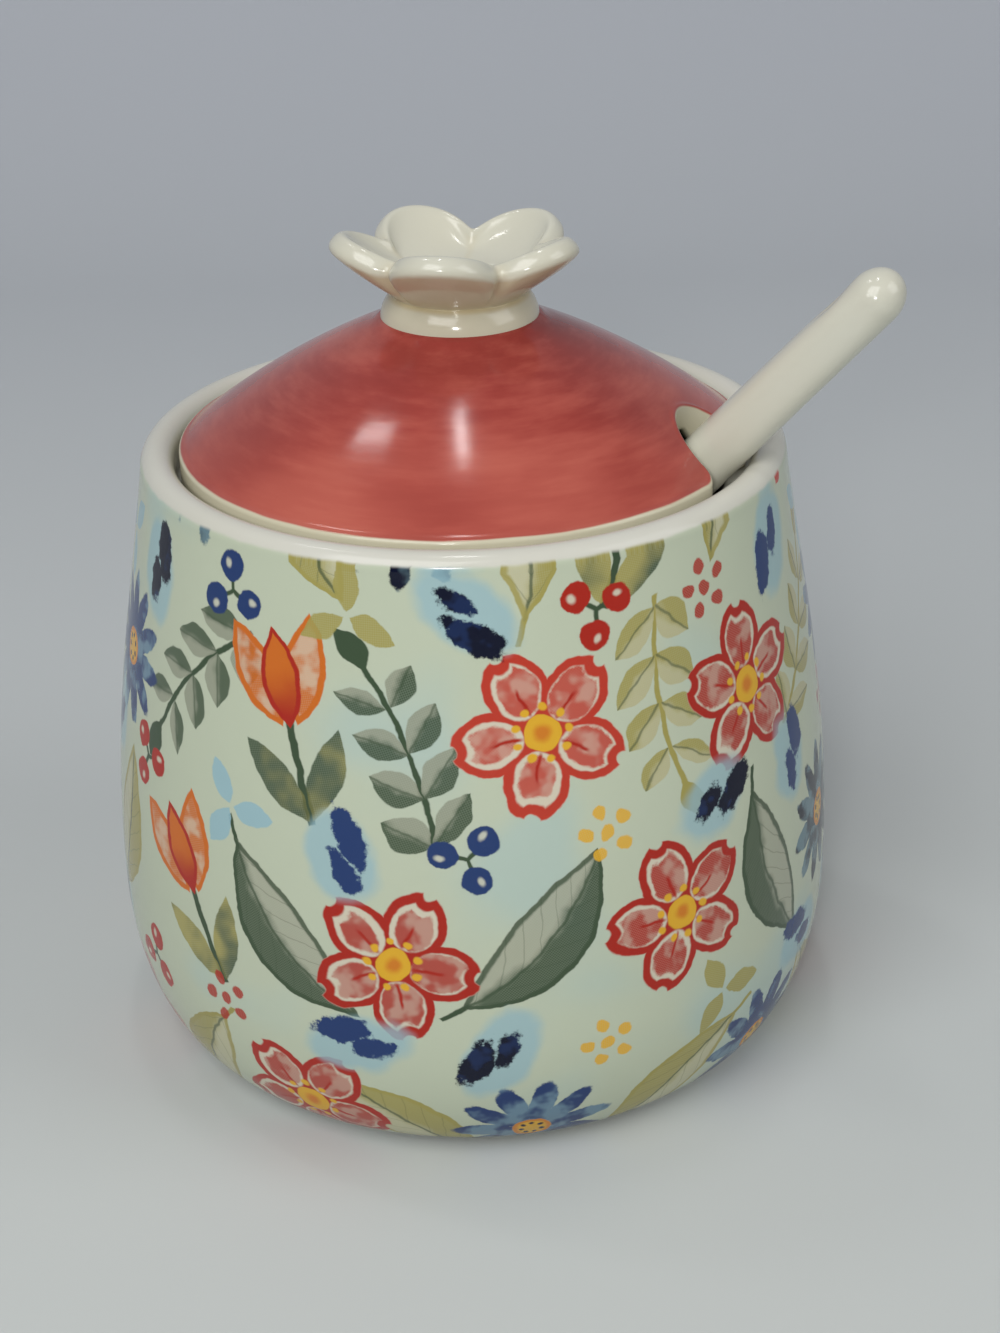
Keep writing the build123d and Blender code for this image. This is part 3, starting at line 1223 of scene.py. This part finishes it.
@dataclass
class Lid:
    """The hollow domed lid, with a round-ended notch in its edge for the spoon."""

    radius: float
    seat_height: float
    crown_height: float
    collar_radius: float = 9.8
    skirt: float = 4.5
    bulge: float = 1.0
    wall: float = 3.2
    skirt_width: float = 4.0
    notch_azimuth: float = -20.0
    notch_end: float = 27.72
    notch_radius: float = 7.0
    notch_corner: float = 2.6
    notch_lip: float = 2.4
    edge_round: float = 0.6
    cove: float = 0.45
    cove_width: float = 0.9
    skirt_draft: float = 0.4
    skirt_round: float = 0.4

    @property
    def skirt_top(self) -> float:
        """Height of the lid's upper edge."""
        return self.seat_height + self.skirt

    def plan(self) -> tuple[np.ndarray, np.ndarray]:
        """The lid's outline seen from above, and the direction into the lid at each point.

        The outline is the lid's circle, two small corner circles and the notch's circle. A corner
        circle touches the lid's circle from inside and the notch's circle from outside.

        Returns:
            Points and unit directions, as rows of x and y, before the notch is turned to its place.
        """
        middle = self.notch_end + self.notch_radius
        inner, outer = self.radius - self.notch_corner, self.notch_radius + self.notch_corner
        x = (inner ** 2 - outer ** 2 + middle ** 2) / (2 * middle)
        y = math.sqrt(inner ** 2 - x ** 2)
        open_turn = math.degrees(math.atan2(y, x))
        meet = math.degrees(math.atan2(y, x - middle))
        rim = arc((0, 0), self.radius, open_turn, 360 - open_turn, 221)[:-1]
        leave = arc((x, -y), self.notch_corner, -open_turn, 180 - meet, 11)[:-1]
        notch = arc((middle, 0), self.notch_radius, 360 - meet, meet, 57)[:-1]
        enter = arc((x, y), self.notch_corner, meet - 180, open_turn, 11)[:-1]
        inward = [
            -rim / self.radius,
            (np.array([x, -y]) - leave) / self.notch_corner,
            (notch - np.array([middle, 0])) / self.notch_radius,
            (np.array([x, y]) - enter) / self.notch_corner,
        ]
        return np.vstack([rim, leave, notch, enter]), np.vstack(inward)

    def underside(self) -> np.ndarray:
        """Radius and height of the hollow under the dome and of the skirt's foot, out from the axis.

        The hollow is the dome's arc, one wall lower, and the skirt's inner side leans by its draft.

        Returns:
            The outline's points.
        """
        slope = (self.crown_height - self.skirt_top) / (self.radius - self.collar_radius)
        radius = self.radius - self.skirt_width
        edge = (radius, self.skirt_top + self.skirt_width * slope - self.wall)
        crown = (self.collar_radius, self.crown_height - self.wall)
        vault = np.linspace(0, radius - 0.5, 36)
        heights = dome(edge, crown, self.bulge, vault)
        skirt = rounded(
            [
                (vault[-1], heights[-1]),
                (radius + 0.1, edge[1] - 0.2),
                (radius + self.skirt_draft, self.seat_height),
                (self.radius, self.seat_height),
            ],
            self.skirt_round,
        )[1:]
        return np.vstack([np.stack([vault, heights], axis=1), skirt])

    def build(self) -> bpy.types.Object:
        """Carries the lid's section along its outline.

        Rows go from the middle of the underside to the edge, up the edge, and back over the dome,
        which rises a little towards the knob, as slip does in a joint: by the cove's height times
        e to the minus square of the distance over the cove's width. Under the dome a row that lies
        past a column's edge is held at that edge, and beside the spoon the notch's wall reaches down
        by the lip, which eases into the hollow.

        Returns:
            The lid's piece.
        """
        outline, inward = self.plan()
        turn = math.radians(self.notch_azimuth)
        rotate = np.array([[math.cos(turn), math.sin(turn)], [-math.sin(turn), math.cos(turn)]])
        outline, inward = outline @ rotate, inward @ rotate
        worn = outline + self.edge_round * inward
        limit = np.linalg.norm(worn, axis=1)
        azimuth = np.arctan2(worn[:, 1], worn[:, 0])
        crown = (self.collar_radius, self.crown_height)
        edge = (self.radius, self.skirt_top)
        under = self.underside()
        under_radii = np.minimum(under[:, :1], limit[None, :])
        beside = np.abs(outline @ [-math.sin(turn), math.cos(turn)])
        lip = self.notch_lip * ease(beside, 2.0, 5.0) * ease(self.radius - limit, 2.5, 4.0)
        under_heights = np.interp(under_radii, under[:, 0], under[:, 1])
        under_heights -= lip[None, :] * ease(under_radii - limit[None, :], -2.8, -0.4)
        below = ring(under_radii, under_heights, azimuth[None, :])
        low, high = under_heights[-1], dome(edge, crown, self.bulge, limit)
        bend = np.radians(np.linspace(0, 90, 9))[:, None]
        inset = self.edge_round * (1 - np.cos(bend))
        walls = [
            (inset[::-1], low[None, :] + self.edge_round * (1 - np.sin(bend[::-1]))),
            (inset, high[None, :] - self.edge_round * (1 - np.sin(bend))),
        ]
        sides = []
        for shift, heights in walls:
            flat = outline[None, :, :] + shift[:, :, None] * inward[None, :, :]
            sides.append(np.concatenate([flat, heights[:, :, None]], axis=2))
        share = np.linspace(1, 0, 61)[1:, None]
        over_radii = share * limit[None, :]
        slip = np.clip(over_radii - self.collar_radius, 0, None) / self.cove_width
        over_heights = dome(edge, crown, self.bulge, over_radii) + self.cove * np.exp(-(slip ** 2))
        over = ring(over_radii, over_heights, azimuth[None, :])
        grid = np.concatenate([below, sides[0], sides[1], over])
        columns = len(outline)
        cut = np.clip((self.radius - np.linalg.norm(outline, axis=1)) / 2, 0, 1)[None, :]
        rise = self.edge_round * (bend - math.pi / 2) + 0.35 * cut
        depth = np.concatenate(
            [
                np.full((len(under) + len(bend), columns), -5.0),
                rise,
                (limit[None, :] - over_radii) + 0.35 * cut,
            ]
        )
        return GridSurface(grid, {"from_edge": depth}).piece("lid_dome")

    def dress(self, piece: bpy.types.Object) -> None:
        """Gives the lid its glaze and its place in the frame.

        Args:
            piece: The lid's piece.
        """
        piece.data.materials.append(LidGlaze().material())
        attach(piece, "lid")
        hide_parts("lid")


@dataclass
class FlowerKnob:
    """The knob: a beaded collar, a waist, and a cup of five thick petals."""

    foot_height: float
    top_height: float
    collar_radius: float = 9.8
    collar_height: float = 3.3
    waist_radius: float = 8.4
    petals: int = 5
    petal_reach: float = 15.6
    petal_radius: float = 7.0
    petal_thickness: float = 2.8
    petal_azimuth: float = -101.0
    tip_slope: float = 45.0
    valley_slope: float = 60.0
    valley_drop: float = 2.5
    valley_round: float = 3.0
    lean_back: float = 1.1
    lip_depth: float = 1.2
    lip_squareness: float = 2.5
    cup_radius: float = 5.4
    cup_floor: float = 2.3
    crease: float = 0.55
    crease_width: float = 4.2
    columns: int = 360

    def outline(self, azimuth: np.ndarray) -> tuple[np.ndarray, np.ndarray]:
        """How far the flower's edge reaches at each azimuth.

        A petal's outline is a circle beside the axis: its far side is c cos a plus the root of the
        circle's radius squared less c sin a squared, a being the angle from the petal's middle.
        Near a gap the angle from the gap, d, is eased to the root of d squared plus w squared,
        less w, so that two petals meet in a rounded valley.

        Args:
            azimuth: Angles round the axis in radians.

        Returns:
            The reach in millimetres, and the angle from the nearest gap in degrees.
        """
        sector = 360 / self.petals
        turn = np.degrees(azimuth) - self.petal_azimuth
        gap = sector / 2 - np.abs((turn / sector + 0.5) % 1 * sector - sector / 2)
        soft = np.hypot(gap, self.valley_round) - self.valley_round
        full = np.hypot(sector / 2, self.valley_round) - self.valley_round
        off = np.radians(sector / 2 * (1 - soft / full))
        center = self.petal_reach - self.petal_radius
        reach = center * np.cos(off) + np.sqrt(self.petal_radius ** 2 - (center * np.sin(off)) ** 2)
        return reach, gap

    def collar(self) -> np.ndarray:
        """Radius and height of the bead, from under the lid's surface to the waist.

        Returns:
            The outline's points, from the axis.
        """
        sunk = self.foot_height - 0.3
        waist_height = self.foot_height + self.collar_height
        bead = bezier(
            [
                (self.collar_radius - 0.05, sunk),
                (self.collar_radius + 0.15, self.foot_height + 0.35 * self.collar_height),
                (self.collar_radius - 0.6, waist_height - 0.25 * self.collar_height),
                (self.waist_radius, waist_height),
            ],
            24,
        )
        return np.vstack([[(0, sunk)], bead])

    def build(self) -> bpy.types.Object:
        """Carries the flower's section round the axis while its reach follows the petals' outline.

        A petal's lip is half of a squared oval, whose axes follow the petal's slope. One curve joins
        it to the waist and another to the hollow, and a crease is pressed in between two petals.
        The flower leans back by hand: its edge sinks by half the lean times one less the share of
        the reach towards the front petal.

        Returns:
            The knob's piece.
        """
        azimuth = np.linspace(0, 2 * math.pi, self.columns, endpoint=False)
        reach, gap = self.outline(azimuth)
        fall = (self.petal_reach - reach) / (self.petal_reach - reach.min())
        slope = np.radians(self.tip_slope + (self.valley_slope - self.tip_slope) * fall)
        onward = np.stack([np.cos(slope), np.sin(slope)], axis=-1)
        inward = np.stack([-np.sin(slope), np.cos(slope)], axis=-1)
        swing = np.radians(np.linspace(-90, 90, 21))[:, None, None]
        power = 2 / self.lip_squareness
        depth = self.lip_depth * np.abs(np.cos(swing)) ** power
        side = self.petal_thickness / 2 * np.sign(swing) * np.abs(np.sin(swing)) ** power
        lip = depth * onward + side * inward
        front = reach / self.petal_reach * np.cos(azimuth - math.radians(self.petal_azimuth))
        brow_height = self.top_height - self.valley_drop * fall - self.lean_back / 2 * (1 - front)
        brow = np.stack([reach, brow_height], axis=-1)
        lip = lip + brow - lip.max(axis=0)
        foot = self.collar()
        waist, waist_height = foot[-1], foot[-1, 1]
        cup = np.array([self.cup_radius, waist_height + self.cup_floor])
        span = np.linalg.norm(lip[0] - waist, axis=1)[:, None]
        flare = waist + 0.1 * span * [0.4, 0.9]
        under = bezier([waist, flare, lip[0] - 0.45 * span * onward, lip[0]], 27)[1:]
        inner = bezier([lip[-1], lip[-1] - 0.4 * span * onward, cup + [2.4, 0.3], cup], 29)[1:]
        groove = np.exp(-((gap / self.crease_width) ** 2))
        climb = np.linspace(0, 1, 27)[1:, None]
        roll = 0.5 - np.degrees(swing[:, 0]) / 180
        press = self.crease * groove[:, None] * inward
        outside = np.concatenate([under + climb[:, :, None] * press, (lip + roll[:, :, None] * press)[1:]])
        floor = np.linspace(1, 0, 9)[1:, None]
        grid = np.concatenate(
            [
                ring(foot[:, :1], foot[:, 1:], azimuth),
                ring(outside[..., 0], outside[..., 1], azimuth),
                ring(inner[..., 0], inner[..., 1], azimuth),
                ring(floor * self.cup_radius, cup[1] - 0.3 * (1 - floor ** 2), azimuth),
            ]
        )
        shape = (1, self.columns)
        sheltered = np.linspace(0, 1, len(inner))[:, None]
        # Painted shade, with pooled glaze: the darker, creamy tint lies lightly on the collar and strongly
        # in the waist's crease, on the petals' undersides and on the lips' lower sides.
        glaze_pool_and_shade = np.concatenate(
            [
                np.maximum(np.exp(-(((foot[:, 1:] - waist_height) / 0.6) ** 2)), 0.35) * np.ones(shape),
                np.maximum(np.exp(-((climb / 0.1) ** 2)), 0.65 + 0.1 * groove * climb),
                0.5 * np.maximum(groove, roll[1:] ** 4) * roll[1:],
                np.maximum(0.2 * groove, 0.05 * sheltered),
                np.full((len(floor), self.columns), 0.05),
            ]
        )
        return GridSurface(grid, {"glaze_pool_and_shade": glaze_pool_and_shade}).piece("knob_flower")

    def dress(self, piece: bpy.types.Object, glaze: bpy.types.Material) -> None:
        """Gives the knob its glaze and its place in the frame.

        Args:
            piece: The knob's piece.
            glaze: The ivory glaze that knob and spoon share.
        """
        piece.data.materials.append(glaze)
        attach(piece, "lid")
        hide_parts("flower_knob")


@dataclass
class Spoon:
    """The spoon: an oval bowl and a rounded handle that leans out through the lid's notch."""

    tip_radius: float = -34.046
    tip_height: float = 5.799
    lean: float = 48.369
    azimuth: float = -20.0
    length: float = 131.5
    handle_width: float = 8.4
    handle_thickness: float = 7.2
    end_width: float = 7.6
    neck_width: float = 7.0
    bowl_length: float = 38.0
    bowl_width: float = 24.0
    bowl_depth: float = 7.5
    bowl_wall: float = 2.3
    squareness: float = 2.7
    dimple_from_end: float = 8.0
    dimple_depth: float = 0.4
    rim_round: float = 0.7
    rows: int = 230
    columns: int = 96

    @property
    def flatness(self) -> float:
        """The handle's thickness as a share of its width."""
        return self.handle_thickness / self.handle_width

    def spread(self, x: np.ndarray) -> tuple[np.ndarray, np.ndarray, np.ndarray]:
        """Half sizes of the section along the spoon.

        The bowl is an oval. The handle swells to its middle by a squared sine and closes in half a
        circle. The fourth root of the sum of their fourth powers joins the two.

        Args:
            x: Distance from the bowl's tip.

        Returns:
            Half the width, the depth, and half the width of the handle by itself.
        """
        half, end = self.bowl_length / 2, self.end_width / 2
        bowl = np.sqrt(np.clip(1 - ((x - half) / half) ** 2, 0, None))
        middle = (self.bowl_length + self.length - end) / 2
        swell = np.clip((x - self.bowl_length) / (middle - self.bowl_length), 0, 2)
        rest = np.where(swell < 1, self.neck_width, self.end_width)
        thick = rest + (self.handle_width - rest) * np.sin(math.pi / 2 * swell) ** 2
        close = np.sqrt(np.clip(1 - np.clip((x - self.length + end) / end, 0, 1) ** 2, 0, None))
        handle = thick / 2 * close * ease(x, self.bowl_length - 10, self.bowl_length + 1)
        width = ((bowl * self.bowl_width / 2) ** 4 + handle ** 4) ** 0.25
        depth = ((bowl * self.bowl_depth) ** 4 + (handle * self.flatness) ** 4) ** 0.25
        return width, depth, handle

    def hollow(self, x: np.ndarray, y: np.ndarray, width: np.ndarray) -> tuple[np.ndarray, np.ndarray]:
        """The bowl's upper side: an oval hollow inside a rim that is worn round.

        Args:
            x: Distance from the bowl's tip.
            y: Distance across the spoon.
            width: Half the spoon's width.

        Returns:
            The height under the rim, and whether a place lies in the hollow.
        """
        half = self.bowl_length / 2
        inside = np.sqrt(np.clip(1 - ((x - half) / (half - self.bowl_wall)) ** 2, 0, None))
        reach = np.maximum(inside * (self.bowl_width / 2 - self.bowl_wall), 1e-6)
        dish = -inside * (self.bowl_depth - self.bowl_wall) * np.sqrt(np.clip(1 - (y / reach) ** 2, 0, None))
        ridge = np.clip((np.abs(y) - reach) / np.maximum(width - reach, 1e-6), 0, 1)
        worn = self.rim_round * np.minimum(1, width / 3)
        lip = worn * (np.sqrt(1 - (2 * ridge - 1) ** 2) - 1)
        within = np.abs(y) < reach
        return np.where(within, dish - worn, lip), within

    def build(self) -> bpy.types.Object:
        """Carries a section from the bowl's tip to the handle's end.

        A section's lower half is half an oval, a squared one along the handle: its across is the half
        width times the cosine to the power 2/n, and its depth the half depth times the sine to that
        power. Its upper side is the handle's oval, the bowl's hollow, or a blend of both, by its
        place along the spoon.

        Returns:
            The spoon's piece.
        """
        turn = np.linspace(0, 1, self.rows)[:, None]
        x = self.length * (1 - np.cos(math.pi * turn)) / 2
        width, depth, handle = self.spread(x)
        begun = ease(x, self.bowl_length, self.bowl_length + 14)
        ended = ease(x, self.length - 9, self.length - 2)
        power = 2 + (self.squareness - 2) * (begun * (1 - ended))
        around = np.linspace(0, 2 * math.pi, self.columns, endpoint=False)[None, :]
        across = np.sign(np.cos(around)) * np.abs(np.cos(around)) ** (2 / power)
        y = width * across
        lower = -depth * np.abs(np.sin(around)) ** (2 / power)
        bowl_top, within = self.hollow(x, y, width)
        handle_top = handle * self.flatness * np.clip(1 - np.abs(across) ** power, 0, None) ** (1 / power)
        press = np.exp(-(((x - self.length + self.dimple_from_end) / 2.4) ** 2) - (y / 1.6) ** 2)
        blend = ease(x, self.bowl_length - 4, self.bowl_length + 5)
        upper = bowl_top * (1 - blend) + handle_top * blend - self.dimple_depth * press
        z = np.where(np.sin(around) >= 0, lower, np.maximum(upper, lower + 0.01))
        z = np.where(width < 1e-6, 0, z)
        lean, azimuth = math.radians(self.lean), math.radians(self.azimuth)
        out = self.tip_radius + x * math.cos(lean) - z * math.sin(lean)
        up = self.tip_height + x * math.sin(lean) + z * math.cos(lean)
        grid = np.stack(
            [
                out * math.cos(azimuth) - y * math.sin(azimuth),
                out * math.sin(azimuth) + y * math.cos(azimuth),
                up,
            ],
            axis=-1,
        )
        # Pooled glaze and painted shade: the darker, creamy tint fills the thumb dimple and the bowl's
        # hollow.
        glaze_pool_and_shade = np.maximum(0.6 * press * (z > 0), 0.5 * (1 - blend) * within)
        return GridSurface(grid, {"glaze_pool_and_shade": glaze_pool_and_shade}).piece("spoon_whole")

    def dress(self, piece: bpy.types.Object, glaze: bpy.types.Material) -> None:
        """Gives the spoon its glaze and its place in the frame.

        Args:
            piece: The spoon's piece.
            glaze: The ivory glaze that knob and spoon share.
        """
        piece.data.materials.append(glaze)
        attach(piece, "spoon")
        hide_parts("spoon")


@dataclass(frozen=True)
class Lamp:
    """One soft lamp.

    Fields:
        name: The lamp's name.
        place: Where it stands, in millimetres.
        aim: What it points at, in millimetres.
        size: Width and height in millimetres.
        power: Watts.
    """

    name: str
    place: tuple[float, float, float]
    aim: tuple[float, float, float]
    size: tuple[float, float]
    power: float

    def add(self) -> bpy.types.Object:
        """Hangs the lamp and points it.

        Returns:
            The lamp.
        """
        lamp = bpy.data.lights.new(self.name, "AREA")
        lamp.shape = "RECTANGLE"
        lamp.size, lamp.size_y = self.size[0] * MM, self.size[1] * MM
        lamp.energy = self.power
        made = bpy.data.objects.new(self.name, lamp)
        made.location = Vector(self.place) * MM
        made.rotation_euler = (Vector(self.aim) - Vector(self.place)).to_track_quat("-Z", "Y").to_euler()
        bpy.context.scene.collection.objects.link(made)
        return made


@dataclass(frozen=True)
class Studio:
    """The pale sweep, the soft lamps and the camera."""

    floor: str = "#c2c6c3"
    # The far colour is painted shade: the sweep darkens and turns bluer towards the back and top.
    far: str = "#b4b8c0"
    fade_start: float = -260.0
    fade_end: float = 780.0
    sweep_start: float = 330.0
    sweep_radius: float = 260.0
    front: float = -900.0
    half_width: float = 1500.0
    wall_top: float = 1500.0
    camera_place: tuple[float, float, float] = (0.0, -260.9, 177.5)
    camera_yaw: float = 0.87
    camera_pitch: float = 26.63
    camera_roll: float = -1.27
    focal_length: float = 59.41
    sensor: float = 36.0
    sky: float = 0.15
    sky_colour: tuple[float, float, float, float] = (0.96, 0.98, 1.0, 1.0)
    lamps: tuple[Lamp, ...] = (
        Lamp("broad_lamp", (-450, -780, 1040), (0, 0, 40), (900, 900), 11),
        Lamp("side_lamp", (900, -300, 700), (0, 0, 50), (600, 800), 3.2),
        Lamp("front_lamp", (-50, -430, 250), (0, 0, 75), (46, 34), 0.5),
        Lamp("top_strip", (-10, 107, 990), (0, -24, 88), (45, 150), 0.5),
        Lamp("left_strip", (-333, 211, 892), (-11, -24, 86), (45, 150), 0.35),
    )

    def build_sweep(self) -> bpy.types.Object:
        """A floor that curves up into a wall: one outline carried sideways.

        Returns:
            The sweep.
        """
        bend = arc((self.sweep_start, self.sweep_radius), self.sweep_radius, -90, 0, 33)
        outline = np.vstack(
            [[(self.front, 0)], bend, [(self.sweep_start + self.sweep_radius, self.wall_top)]]
        )
        rows = len(outline)
        sides = np.array([-self.half_width, self.half_width])
        grid = np.stack(
            [
                np.broadcast_to(sides[None, :], (rows, 2)),
                np.broadcast_to(outline[:, :1], (rows, 2)),
                np.broadcast_to(outline[:, 1:], (rows, 2)),
            ],
            axis=-1,
        ).reshape(-1, 3)
        index = np.arange(2 * rows).reshape(rows, 2)
        faces = np.stack([index[:-1, 0], index[:-1, 1], index[1:, 1], index[1:, 0]], axis=1)
        mesh = bpy.data.meshes.new("sweep")
        mesh.from_pydata((grid * MM).tolist(), [], faces.tolist())
        mesh.shade_smooth()
        shader = Shader("sweep_paper")
        place = shader.place()
        _, back, high = shader.split(place)
        # Painted shade: the colour fades from the floor's to the darker far colour with distance back and
        # up, with soft blotches.
        away = (back + high) * (1 / MM) + shader.noise(place, 9, 2) * 60
        painted_falloff_share = away.rise(self.fade_start, self.fade_end)
        colour = shader.mix(painted_falloff_share, tone(self.floor), tone(self.far))
        mesh.materials.append(shader.finish(Base_Color=colour, Roughness=0.65, Specular_IOR_Level=0.25))
        sweep = bpy.data.objects.new("sweep", mesh)
        bpy.context.scene.collection.objects.link(sweep)
        return sweep

    def light(self) -> None:
        """Hangs the lamps and sets a weak, even sky round them."""
        for lamp in self.lamps:
            lamp.add()
        world = bpy.data.worlds.new("studio_sky")
        world.use_nodes = True
        background = world.node_tree.nodes["Background"]
        background.inputs["Color"].default_value = self.sky_colour
        background.inputs["Strength"].default_value = self.sky
        bpy.context.scene.world = world

    def add_camera(self) -> bpy.types.Object:
        """Sets the camera where the photograph was taken from.

        Its axes are a level yaw and pitch, then a roll about the line of sight.

        Returns:
            The camera.
        """
        yaw, pitch = math.radians(self.camera_yaw), math.radians(self.camera_pitch)
        roll = math.radians(self.camera_roll)
        reach = math.cos(pitch)
        forward = Vector((math.sin(yaw) * reach, math.cos(yaw) * reach, -math.sin(pitch)))
        level = Vector((math.cos(yaw), -math.sin(yaw), 0))
        upright = level.cross(forward)
        right = math.cos(roll) * level + math.sin(roll) * upright
        up = -math.sin(roll) * level + math.cos(roll) * upright
        lens = bpy.data.cameras.new("camera")
        lens.sensor_width = self.sensor
        lens.lens = self.focal_length
        lens.clip_start = 0.01
        camera = bpy.data.objects.new("camera", lens)
        turn = Matrix((right, up, -forward)).transposed().to_4x4()
        camera.matrix_world = Matrix.Translation(Vector(self.camera_place) * MM) @ turn
        bpy.context.scene.collection.objects.link(camera)
        bpy.context.scene.camera = camera
        bpy.context.scene.view_settings.view_transform = "Standard"
        return camera


def node_box(node: str) -> tuple[np.ndarray, np.ndarray]:
    """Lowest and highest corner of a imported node, in millimetres."""
    low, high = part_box(node)
    return np.array(low) / MM, np.array(high) / MM


def main() -> None:
    """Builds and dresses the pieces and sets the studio."""
    logging.basicConfig(level=logging.INFO, format="%(message)s")
    _, pot_high = node_box("pot_body")
    lid_low, lid_high = node_box("lid")
    knob_low, knob_high = node_box("flower_knob")
    ivory = WhiteGlaze().material()

    pot = PotBody(belly_radius=pot_high[0], height=pot_high[2])
    pot_piece = pot.build()
    pot.dress(pot_piece)
    lid = Lid(radius=lid_high[1], seat_height=lid_low[2], crown_height=lid_high[2])
    lid_piece = lid.build()
    lid.dress(lid_piece)
    knob = FlowerKnob(foot_height=knob_low[2], top_height=knob_high[2])
    knob_piece = knob.build()
    knob.dress(knob_piece, ivory)
    spoon = Spoon()
    spoon_piece = spoon.build()
    spoon.dress(spoon_piece, ivory)
    for piece in (pot_piece, lid_piece, knob_piece, spoon_piece):
        log.info("%s: %d faces", piece.name, len(piece.data.polygons))

    studio = Studio()
    studio.build_sweep()
    studio.light()
    studio.add_camera()


if __name__ == "__main__":
    main()
